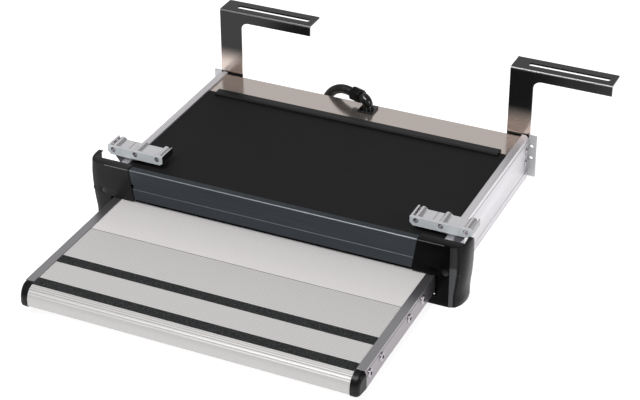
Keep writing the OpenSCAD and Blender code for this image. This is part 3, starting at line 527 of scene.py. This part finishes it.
def smoothLine(points, count):
    # Catmull-Rom through the points: cubic between each two, its slopes half of the chord across them
    p = np.vstack([points[0], points, points[-1]])
    s = np.linspace(0, len(points) - 1 - 1e-9, count)
    i, t = s.astype(int), (s % 1)[:, None]
    a, b, c, d = p[i], p[i + 1], p[i + 2], p[i + 3]
    square, cube = 2 * a - 5 * b + 4 * c - d, 3 * b - a - 3 * c + d
    return 0.5 * (2 * b + (c - a) * t + square * t ** 2 + cube * t ** 3)


def evenly(line, step):  # the same line with its points a fixed step apart, and their distances along it
    far = np.concatenate([[0], np.cumsum(np.linalg.norm(np.diff(line, axis=0), axis=1))])
    at = np.linspace(0, far[-1], int(round(far[-1] / step)) + 1)
    return np.column_stack([np.interp(at, far, line[:, k]) for k in range(3)]), at


def tube(line, radii, sides):
    # ring of radius r(s) round each point of a line: centre + r (cos u side + sin u up)
    ahead = np.gradient(line, axis=0)
    ahead /= np.linalg.norm(ahead, axis=1)[:, None]
    leaning = [0.1, 0.3, 1.0]  # a direction that the line never takes
    side = np.cross(ahead, leaning)
    side /= np.linalg.norm(side, axis=1)[:, None]
    up = np.cross(side, ahead)
    u = np.linspace(0, 2 * math.pi, sides, endpoint=False)
    ring = np.cos(u)[None, :, None] * side[:, None] + np.sin(u)[None, :, None] * up[:, None]
    return (line[:, None] + ring * radii[:, None, None]).reshape(-1, 3)


def makeHose(h, e):
    # radius R - depth (1 - w) / 2, where w is a cosine along the line, cut off so that the ribs are flat;
    # it is turned in at both ends
    line, far = evenly(smoothLine(routePoints(h, e), h["samples"]), h["ribPitch"] / h["ringsPerRib"])
    wave = np.clip(np.cos(far / h["ribPitch"] * 2 * math.pi) * h["ribFlat"], -1, 1)
    radii = h["diameter"] / 2 - h["ribDepth"] * (0.5 - 0.5 * wave)
    radii[-1] = radii[0] = h["diameter"] / 2 - h["turnedIn"]
    faces = flipped(ringFaces(len(line), h["sides"]))
    points = place(tube(line, radii, h["sides"]))
    return surface("hose", points, faces, finishes["black_rubber"]), line


hose, hoseLine = makeHose(hoseRoute, elbow)
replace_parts(hose, "conduit_hose")


merging = {"distance": 2e-6, "flatDegrees": 0.5}


def mergedCopy(name, nodeName, cuts):
    # a new mesh from a CAD node's loose triangles: corners merged, flats joined, then cut by planes
    # (point, normal)
    work = bmesh.new()
    work.from_mesh(frame["nodes"][nodeName].data)
    bmesh.ops.remove_doubles(work, verts=work.verts, dist=merging["distance"])
    bmesh.ops.dissolve_limit(work, angle_limit=math.radians(merging["flatDegrees"]), verts=work.verts,
                             edges=work.edges)
    for point, normal in cuts:
        everything = work.verts[:] + work.edges[:] + work.faces[:]
        bmesh.ops.bisect_plane(work, geom=everything, plane_co=point, plane_no=normal)
    mesh = bpy.data.meshes.new(name)
    work.to_mesh(mesh)
    work.free()
    return mesh


def reshaped(mesh, change, settings):  # carries all corners of a mesh through change(points, settings)
    points = np.empty(len(mesh.vertices) * 3)
    mesh.vertices.foreach_get("co", points)
    mesh.vertices.foreach_set("co", change(points.reshape(-1, 3), settings).ravel())


def standIn(mesh, nodeName, finish, body):  # puts a changed copy in the CAD node's place
    mesh.materials.append(finish.material)
    thing = bpy.data.objects.new(mesh.name, mesh)
    bpy.context.scene.collection.objects.link(thing)
    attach(thing, body)
    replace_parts(thing, nodeName)
    return thing


wing = {"from": 292.0, "to": 306.0, "middle": 82.0, "below": 58.0, "above": 47.0, "out": 5.6,
        "deep": (10.0, 85.0), "rear": 0.3, "rows": np.arange(0.010, 0.100, 0.010)}


def swollen(points, w):
    # moves a cap's side wing outwards by out (1 - ((z - middle) / half) squared); it grows in from
    # x = from to x = to and fades towards the rear
    x, y, z = (points * 1000).T
    share = np.clip((np.abs(x) - w["from"]) / (w["to"] - w["from"]), 0, 1)
    height = np.clip(1 - ((z - w["middle"]) / np.where(z < w["middle"], w["below"], w["above"])) ** 2, 0, 1)
    back = np.clip((y + sillMiddle - w["deep"][0]) / (w["deep"][1] - w["deep"][0]), 0, 1)
    out = share * share * (3 - 2 * share) * height * (1 - (1 - w["rear"]) * back) * w["out"] / 1000
    return points + (np.sign(x) * out)[:, None] * [1, 0, 0]


roll = {"capRadius": 1.1, "plugRadius": 0.7, "segments": 3, "overDegrees": 28}


def softened(nodeName, radius, finish, r, w=None):
    # a merged copy of a CAD node with its edges rolled over; with wing settings w its sides are cut in
    # rows and swell
    cuts = [((0, 0, z), (0, 0, 1)) for z in w["rows"]] if w else []
    mesh = mergedCopy(nodeName + "Soft", nodeName, cuts)
    if w:
        reshaped(mesh, swollen, w)
    mesh.polygons.foreach_set("use_smooth", np.full(len(mesh.polygons), True))
    bevel = standIn(mesh, nodeName, finish, "cassette").modifiers.new("roll", "BEVEL")
    bevel.width, bevel.segments = radius / 1000, r["segments"]
    bevel.limit_method, bevel.angle_limit = "ANGLE", math.radians(r["overDegrees"])
    bevel.harden_normals, bevel.use_clamp_overlap, bevel.miter_outer = True, True, "MITER_ARC"


for side in ("left", "right"):
    softened("end_cap_" + side, roll["capRadius"], capBlack, roll, wing)
for side in ("left", "right"):
    softened("cap_plug_" + side, roll["plugRadius"], plugBlack, roll)
print("end caps and plugs with rolled edges")


def drawn(name, outline, x0, x1, finish, body="cassette", marks={}):
    # a closed outline of (y, z) points drawn straight from x0 to x1, with a face at each end; marks are
    # values per point of the outline
    n = len(outline)
    points = np.concatenate([np.column_stack([np.full(n, x), outline]) for x in (x0, x1)])
    thing = surface(name, place(points), ringFaces(2, n), finish, body, sharp=40)
    for key, values in marks.items():
        setMark(thing, key, np.tile(values, 2))
    return thing


def quarter(step):  # angles of a quarter turn, in radians
    return np.radians(np.arange(0, 91, step))


tread = {"step": 0.3, "sideGap": 0.3, "seamGap": 0.9, "seamEdge": 0.12, "tailEdge": 0.5,
         "ribPitch": 3.75, "ribDepth": 0.14, "ribShade": 0.5, "rearShade": 0.6,
         "grips": (-263.0, -196.0), "gripWidth": 19.0, "gripDepth": 0.9}
nose = {"step": 0.75, "ribs": (9, 41), "ribPitch": 3.55, "ribStart": 12.6, "ribDepth": 0.3, "ribShade": 0.6,
        "beads": (46.7, 57.7), "beadHeight": 0.2, "beadWidth": 0.7, "groove": 52, "grooveWidth": 0.45,
        "grooveDepth": 0.2, "grooveShade": 0.2, "shade": 0.26, "shadeBy": 35, "foot": 1.8, "wall": 3.8,
        "lip": 12.0, "lipHeight": 2.6}


def ribs(far, pitch):  # 1 in a narrow groove every pitch, 0 on the lands: the fourth power of a cosine
    return np.clip(np.cos(far / pitch * 2 * math.pi), 0, 1) ** 4


def topLine(t, y):  # points of a plank's top along y, with its ribs and the strips' grooves, and their marks
    strip = sum(((y > g) & (y < g + t["gripWidth"])).astype(float) for g in t["grips"])
    deep = (1 - strip) * ribs(y, t["ribPitch"])
    top = shape["tread"] - strip * t["gripDepth"] - deep * t["ribDepth"]
    # the grooves' mark is painted shade, ribShade deep
    return np.column_stack([y, top]), deep * t["ribShade"]


def bell(far, width):  # Gaussian of the distance from its middle
    return np.exp(-(far / width) ** 2)


def frontPlank(t, n):
    # flat top, then a quarter round of radius R + f(angle), where f holds the front strip's groove, ribs,
    # two beads and a groove; below it a small foot, then the plank's inside
    radius, back, tip = shape["noseRadius"], shape["seam"] - t["seamGap"] / 2, shape["nose"]
    flat, deep = topLine(t, np.arange(back - t["seamEdge"], tip + radius, -t["step"]))
    degrees = np.arange(0.0, 90.1, n["step"])
    a = np.radians(degrees)
    strip = a < math.asin((tip + radius - t["grips"][0]) / radius)
    ribbed = (degrees > n["ribs"][0]) & (degrees < n["ribs"][1])
    line = ribbed * ribs(a * radius - n["ribStart"], n["ribPitch"])
    beads = sum(bell((a - math.radians(bead)) * radius, n["beadWidth"]) for bead in n["beads"])
    groove = bell((a - math.radians(n["groove"])) * radius, n["grooveWidth"])
    r = (radius - strip * t["gripDepth"] - line * n["ribDepth"] + beads * n["beadHeight"]
         - groove * n["grooveDepth"])
    curve = np.column_stack([tip + radius - r * np.sin(a), shape["tread"] - radius + r * np.cos(a)])
    z, turn = shape["noseBase"], quarter(15)
    foot = np.column_stack([tip + n["foot"] * (1 - np.cos(turn)), z + n["foot"] * (1 - np.sin(turn))])
    lip, wall, above, base = tip + n["lip"], tip + n["wall"], z + n["lipHeight"], shape["plankBase"]
    inside = np.array([(lip, z), (lip, above), (wall, above), (wall, base), (back, base),
                       (back, shape["tread"] - t["seamEdge"])])
    # painted shade: the foot and inside get the nose's shade, the seam is dark, and the front face darkens
    # with its angle up to shadeBy
    below = np.full(len(foot) + len(inside), n["shade"])
    below[-2:] = deep[0] = 1.0  # the seam
    steep = n["shade"] * np.clip(degrees / n["shadeBy"], 0, 1)
    front = np.clip(line * n["ribShade"] + groove * n["grooveShade"] + steep, 0, 1)
    marks = {"hollow": np.concatenate([deep, front, below]),
             # the beads' mark carries a painted highlight
             "rub": np.concatenate([deep * 0, np.clip(beads, 0, 1), below * 0])}
    return np.concatenate([flat, curve, foot, inside]), marks


def rearPlank(t):
    # flat ribbed top over a box, with painted shade in the rib grooves and down the seam
    start, end = shape["seam"] + t["seamGap"] / 2, shape["tail"]
    top, base = shape["tread"], shape["plankBase"]
    flat, deep = topLine(t, np.arange(end - t["tailEdge"], start + t["seamEdge"], -t["step"]))
    sides = np.array([(start, top - t["seamEdge"]), (start, base), (end, base), (end, top - t["tailEdge"])])
    hollow = np.concatenate([deep * t["rearShade"], [1.0, 1.0, 0.0, 0.0]])
    return np.concatenate([flat, sides]), {"hollow": hollow}


planks = {"plankFront": ("tread_front", finishes["tread_aluminium"], frontPlank(tread, nose)),
          "plankRear": ("tread_rear", rearPlankLitMetal, rearPlank(tread))}
for name, (node, finish, (outline, marks)) in planks.items():
    half = shape["railInner"] - tread["sideGap"]
    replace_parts(drawn(name, outline, -half, half, finish, "step", marks), node)
    print(name + ":", len(outline), "points round")

shadeSheet = {"half": 236.0, "bottom": 50.1, "top": 56.5, "from": 3.2, "to": 5.8, "edge": 0.8}


def makeShadeSheet(w):  # black sheet behind the profile's lower edge, rounded towards the tread: painted shade for the dark space under the profile
    u, front, back, base = quarter(15), w["from"], w["to"], w["bottom"]
    foot = np.column_stack([front + w["edge"] * (1 - np.cos(u)), base + w["edge"] * (1 - np.sin(u))])
    outline = np.concatenate([[(back, w["top"]), (front, w["top"])], foot, [(back, base)]])
    drawn("shadeSheet", outline, -w["half"], w["half"], shadeBlack)


makeShadeSheet(shadeSheet)

brush = {"y": (2.5, 5.0), "outer": 281.3,
         "parts": [(275.7, 14.0, 27.6), (278.0, 27.6, 43.4), (275.7, 43.4, 54.0)]}


def makeBrush(b, side, word):
    # bristle strip in the opening for the step rail, in parts (x from, height from, height to): the middle
    # one leaves a way for the screw heads; its flat black is painted shade for the dark inside of the opening
    y0, y1 = b["y"]
    for number, (inner, low, high) in enumerate(b["parts"]):
        outline = np.array([(y1, high), (y0, high), (y0, low), (y1, low)])
        x0, x1 = sorted((side * inner, side * b["outer"]))
        drawn("brush" + word + str(number), outline, x0, x1, shadeBlack)


bothSides = ((1, "Right"), (-1, "Left"))
for side, word in bothSides:
    makeBrush(brush, side, word)
print("shadeSheet and brushes")

noseCap = {"inner": 261.3, "outer": 277.5, "front": 275.0, "back": -259.0, "base": 15.6, "grow": 0.8,
           "roll": 7.5, "corner": 6.5, "cornerPoints": 9, "rings": 12, "backHeights": (0, 10, 21),
           "behind": 1.0, "core": 7.0}


def noseCapRings(c):
    # outline of the nose, carried from the plank outwards; near the outer face it shrinks by
    # roll (1 - cos u) while x gains roll sin u, and the outer face itself leans in towards the front
    r, tip, top, base, grow = shape["noseRadius"], shape["nose"], shape["tread"], c["base"], c["grow"]
    a, low = quarter(5), np.linspace(0, math.pi / 2, c["cornerPoints"])
    curve = np.column_stack([tip + r - (r + grow) * np.sin(a), top - r + (r + grow) * np.cos(a)])
    below = base + c["corner"] * (1 - np.sin(low))
    corner = np.column_stack([tip - grow + c["corner"] * (1 - np.cos(low)), below])
    back = [(c["back"], base + height) for height in c["backHeights"]] + [(c["back"], top + grow)]
    outline = np.concatenate([curve, corner, back])
    middle = np.array([c["back"] - c["behind"], (top + base) / 2])
    outward = outline - middle
    reach = np.maximum(np.linalg.norm(outward, axis=1)[:, None], c["core"])
    edge = c["front"] + (c["outer"] - c["front"]) * (outline[:, 0] - tip) / (c["back"] - tip)
    rings = [np.column_stack([np.full(len(outline), c["inner"]), outline])]
    for u in np.linspace(0, math.pi / 2, c["rings"]):
        shrunk = middle + outward * (1 - c["roll"] * (1 - math.cos(u)) / reach)
        shrunk[:, 0] = np.where(outline[:, 0] == c["back"], c["back"], shrunk[:, 0])
        rings.append(np.column_stack([edge - c["roll"] + c["roll"] * math.sin(u), shrunk]))
    return rings


def makeNoseCap(c, side, word):
    rings = noseCapRings(c)
    faces = ringFaces(len(rings), len(rings[0]))
    points = place(np.concatenate(rings) * [side, 1, 1])
    piece = surface("noseCap" + word, points, faces if side > 0 else flipped(faces),
                    finishes["black_plastic"], "step", sharp=50)
    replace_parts(piece, "step_cap_" + word.lower())


for side, word in bothSides:
    makeNoseCap(noseCap, side, word)
print("nose caps:", noseCap["rings"] + 1, "rings each")

taper = {"from": -185.0, "to": -258.0, "drop": 2.6, "below": 24.0, "lift": 1.0, "above": 48.5}
ramp = {"x": (258.0, 275.3), "y": (17.5, 59.5), "low": 12.0, "z": (16.5, 18.2)}


def deepened(points, t):
    # the lower edge drops in a straight line from y = from to y = to, and the top stands above the tread
    reach = (points[:, 1] * 1000 + sillMiddle - t["from"]) / (t["to"] - t["from"])
    points[:, 2] -= np.where(points[:, 2] < t["below"] / 1000, np.clip(reach, 0, 1) * t["drop"] / 1000, 0)
    points[:, 2] += np.where(points[:, 2] > t["above"] / 1000, t["lift"] / 1000, 0)
    return points


def makeStepRail(t, word):
    node = "step_rail_" + word
    mesh = mergedCopy(node + "Deep", node, [(place((0, t["from"], 0)), (0, 1, 0))])
    reshaped(mesh, deepened, t)
    standIn(mesh, node, finishes["grey_aluminium"], "step")


def makeGlide(r, side, word):  # its upper face is a ramp that takes up the rail's deeper end
    (y0, y1), (z0, z1) = r["y"], r["z"]
    x0, x1 = sorted(side * x for x in r["x"])
    outline = np.array([(y1, z1), (y0, z0), (y0, r["low"]), (y1, r["low"])])
    glide = drawn("glide" + word, outline, x0, x1, finishes["white_nylon"])
    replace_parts(glide, "glide_" + word.lower())


for side, word in bothSides:
    makeStepRail(taper, word.lower())
    makeGlide(ramp, side, word)
print("step rails deepened, glides ramped")


def hexagon(u, flat):  # from the middle to a hexagon's side at the angle u: flat / cos(angle to the flat)
    return flat / np.cos((u + math.pi / 6) % (math.pi / 3) - math.pi / 6)


def turns(count):  # angles of a full turn
    return np.arange(count) / count * 2 * math.pi


nut = {"start": 15.5, "flat": 11.4, "corner": 12.5, "sides": 48,
       "rings": [(-1.5, 9.6, 0), (-1.5, 10.8, 0), (1.5, 10.8, 0), (1.5, 0, 0.88), (2.6, 0, 1), (18.4, 0, 1),
                 (20.0, 0, 0.88), (20.6, 8.6, 0)]}


def unionNut(t, e):
    # rings (distance, round radius, share of the hexagon) along the elbow's turned axis; the hexagon's
    # corners are cut
    u, turn = turns(t["sides"]), math.radians(e["turn"])
    outline = np.minimum(hexagon(u, t["flat"]), t["corner"])
    ahead = np.array([-math.cos(turn), math.sin(turn), 0])
    across = np.array([-math.sin(turn), -math.cos(turn), 0])
    rings = []
    for distance, rim, share in t["rings"]:
        radius = (rim + outline * share)[:, None]
        centre = np.array(e["place"]) + ahead * (t["start"] + distance)
        rings.append(centre + radius * (np.cos(u)[:, None] * across + np.sin(u)[:, None] * [0, 0, 1]))
    return surface("unionNut", place(np.concatenate(rings)), ringFaces(len(rings), t["sides"]),
                   finishes["black_plastic"], sharp=18)


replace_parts(unionNut(nut, elbow), "conduit_nut")
print("union nut:", nut["sides"], "sides")

screws = {"places": (-242.0, -200.0, -98.0, -45.5), "height": 36.2, "hex": 3.0, "sides": 36,
          "profile": [(7.0, -0.3), (7.0, 0.5), (6.8, 1.0), (6.2, 1.5), (5.2, 1.95), (4.2, 2.25), (3.5, 2.42)],
          "socket": [(1.0, 2.42), (0.98, 2.3), (0.95, 0.4)]}


def buttonHead(s, sideways):
    # rings (radius, height) about the screw's axis; in the socket the radius is a share of a hexagon's
    u = turns(s["sides"])
    dome = [np.full(len(u), r) for r, height in s["profile"]]
    radius = np.array(dome + [hexagon(u, s["hex"]) * share for share, height in s["socket"]])
    out = np.array([height for r, height in s["profile"] + s["socket"]])[:, None] * sideways + radius * 0
    faces = ringFaces(len(radius), len(u))
    points = np.stack([out, radius * np.cos(u), radius * np.sin(u)], -1).reshape(-1, 3)
    return points, flipped(faces) if sideways < 0 else faces


def makeScrews(s, side, word):
    head, around = buttonHead(s, side)
    spots = [(side * shape["railOuter"], y, s["height"]) for y in s["places"]]
    points = np.concatenate([head + np.array(spot) for spot in spots])
    faces = [face + len(head) * number for number in range(len(spots)) for face in around]
    piece = surface("railScrews" + word, place(points), faces, finishes["screw_steel"],
                    "step", sharp=30)
    # painted shade on all of the socket but its rim
    dark = [0.0] * (len(s["profile"]) + 1) + [1.0] * (len(s["socket"]) - 1)  # all of the socket but its rim
    setMark(piece, "hollow", np.tile(np.repeat(dark, s["sides"]), len(spots)))
    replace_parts(piece, "rail_screws_" + word.lower())


for side, word in reversed(bothSides):
    makeScrews(screws, side, word)
print("screw heads:", 2 * len(screws["places"]))

stage = {"floorSize": 14.0, "floorTone": rgb(200, 200, 201), "cloudScale": 3, "tint": 0.015, "rough": 0.9,
         "glow": 0.78, "world": 0.3, "white": (1, 1, 1, 1)}


def makeStage(s):  # a pale floor that glows a little, under a white sky
    half = s["floorSize"] / 2
    corners = [(-half, -half, 0), (half, -half, 0), (half, half, 0), (-half, half, 0)]
    mesh = bpy.data.meshes.new("floor")
    mesh.from_pydata(corners, [], [(0, 1, 2, 3)])
    f = Finish("floorPaper", Roughness=s["rough"], Emission_Strength=s["glow"], Emission_Color=s["white"])
    duller = tone(s["floorTone"], 1 - s["tint"])
    f.put("Base Color", f.blend(f.noise(s["cloudScale"]), duller, tone(s["floorTone"])))
    mesh.materials.append(f.material)
    floor = bpy.data.objects.new("floor", mesh)
    bpy.context.scene.collection.objects.link(floor)
    world = bpy.data.worlds.new("studio")
    world.use_nodes = True
    background = world.node_tree.nodes["Background"].inputs
    background["Color"].default_value, background["Strength"].default_value = s["white"], s["world"]
    bpy.context.scene.world = world


lamps = [  # name, place, target, width, height, watts
    ("key", (-0.25, -1.4, 2.5), (0, -0.05, 0.05), 1.7, 1.1, 55),
    ("overhead", (-0.6, 0.1, 2.6), (0, 0.05, 0.05), 2.0, 1.4, 6),
    ("reflector", (-1.45, 3.2, 2.05), (0, 0.1, 0.08), 3.0, 2.2, 7.1),
    ("right", (2.6, -0.3, 1.3), (0.2, 0.1, 0.05), 1.0, 1.0, 12),
]


def makeLamps(rows):
    for name, spot, target, wide, high, watts in rows:
        data = bpy.data.lights.new(name, "AREA")
        data.shape, data.size, data.size_y, data.energy = "RECTANGLE", wide, high, watts
        lamp = bpy.data.objects.new(name, data)
        lamp.location = spot
        lamp.rotation_euler = (Vector(spot) - Vector(target)).to_track_quat("Z", "Y").to_euler()
        bpy.context.scene.collection.objects.link(lamp)


makeStage(stage)
makeLamps(lamps)
bpy.context.scene.view_settings.view_transform = "Standard"
print("studio:", len(lamps), "lamps")
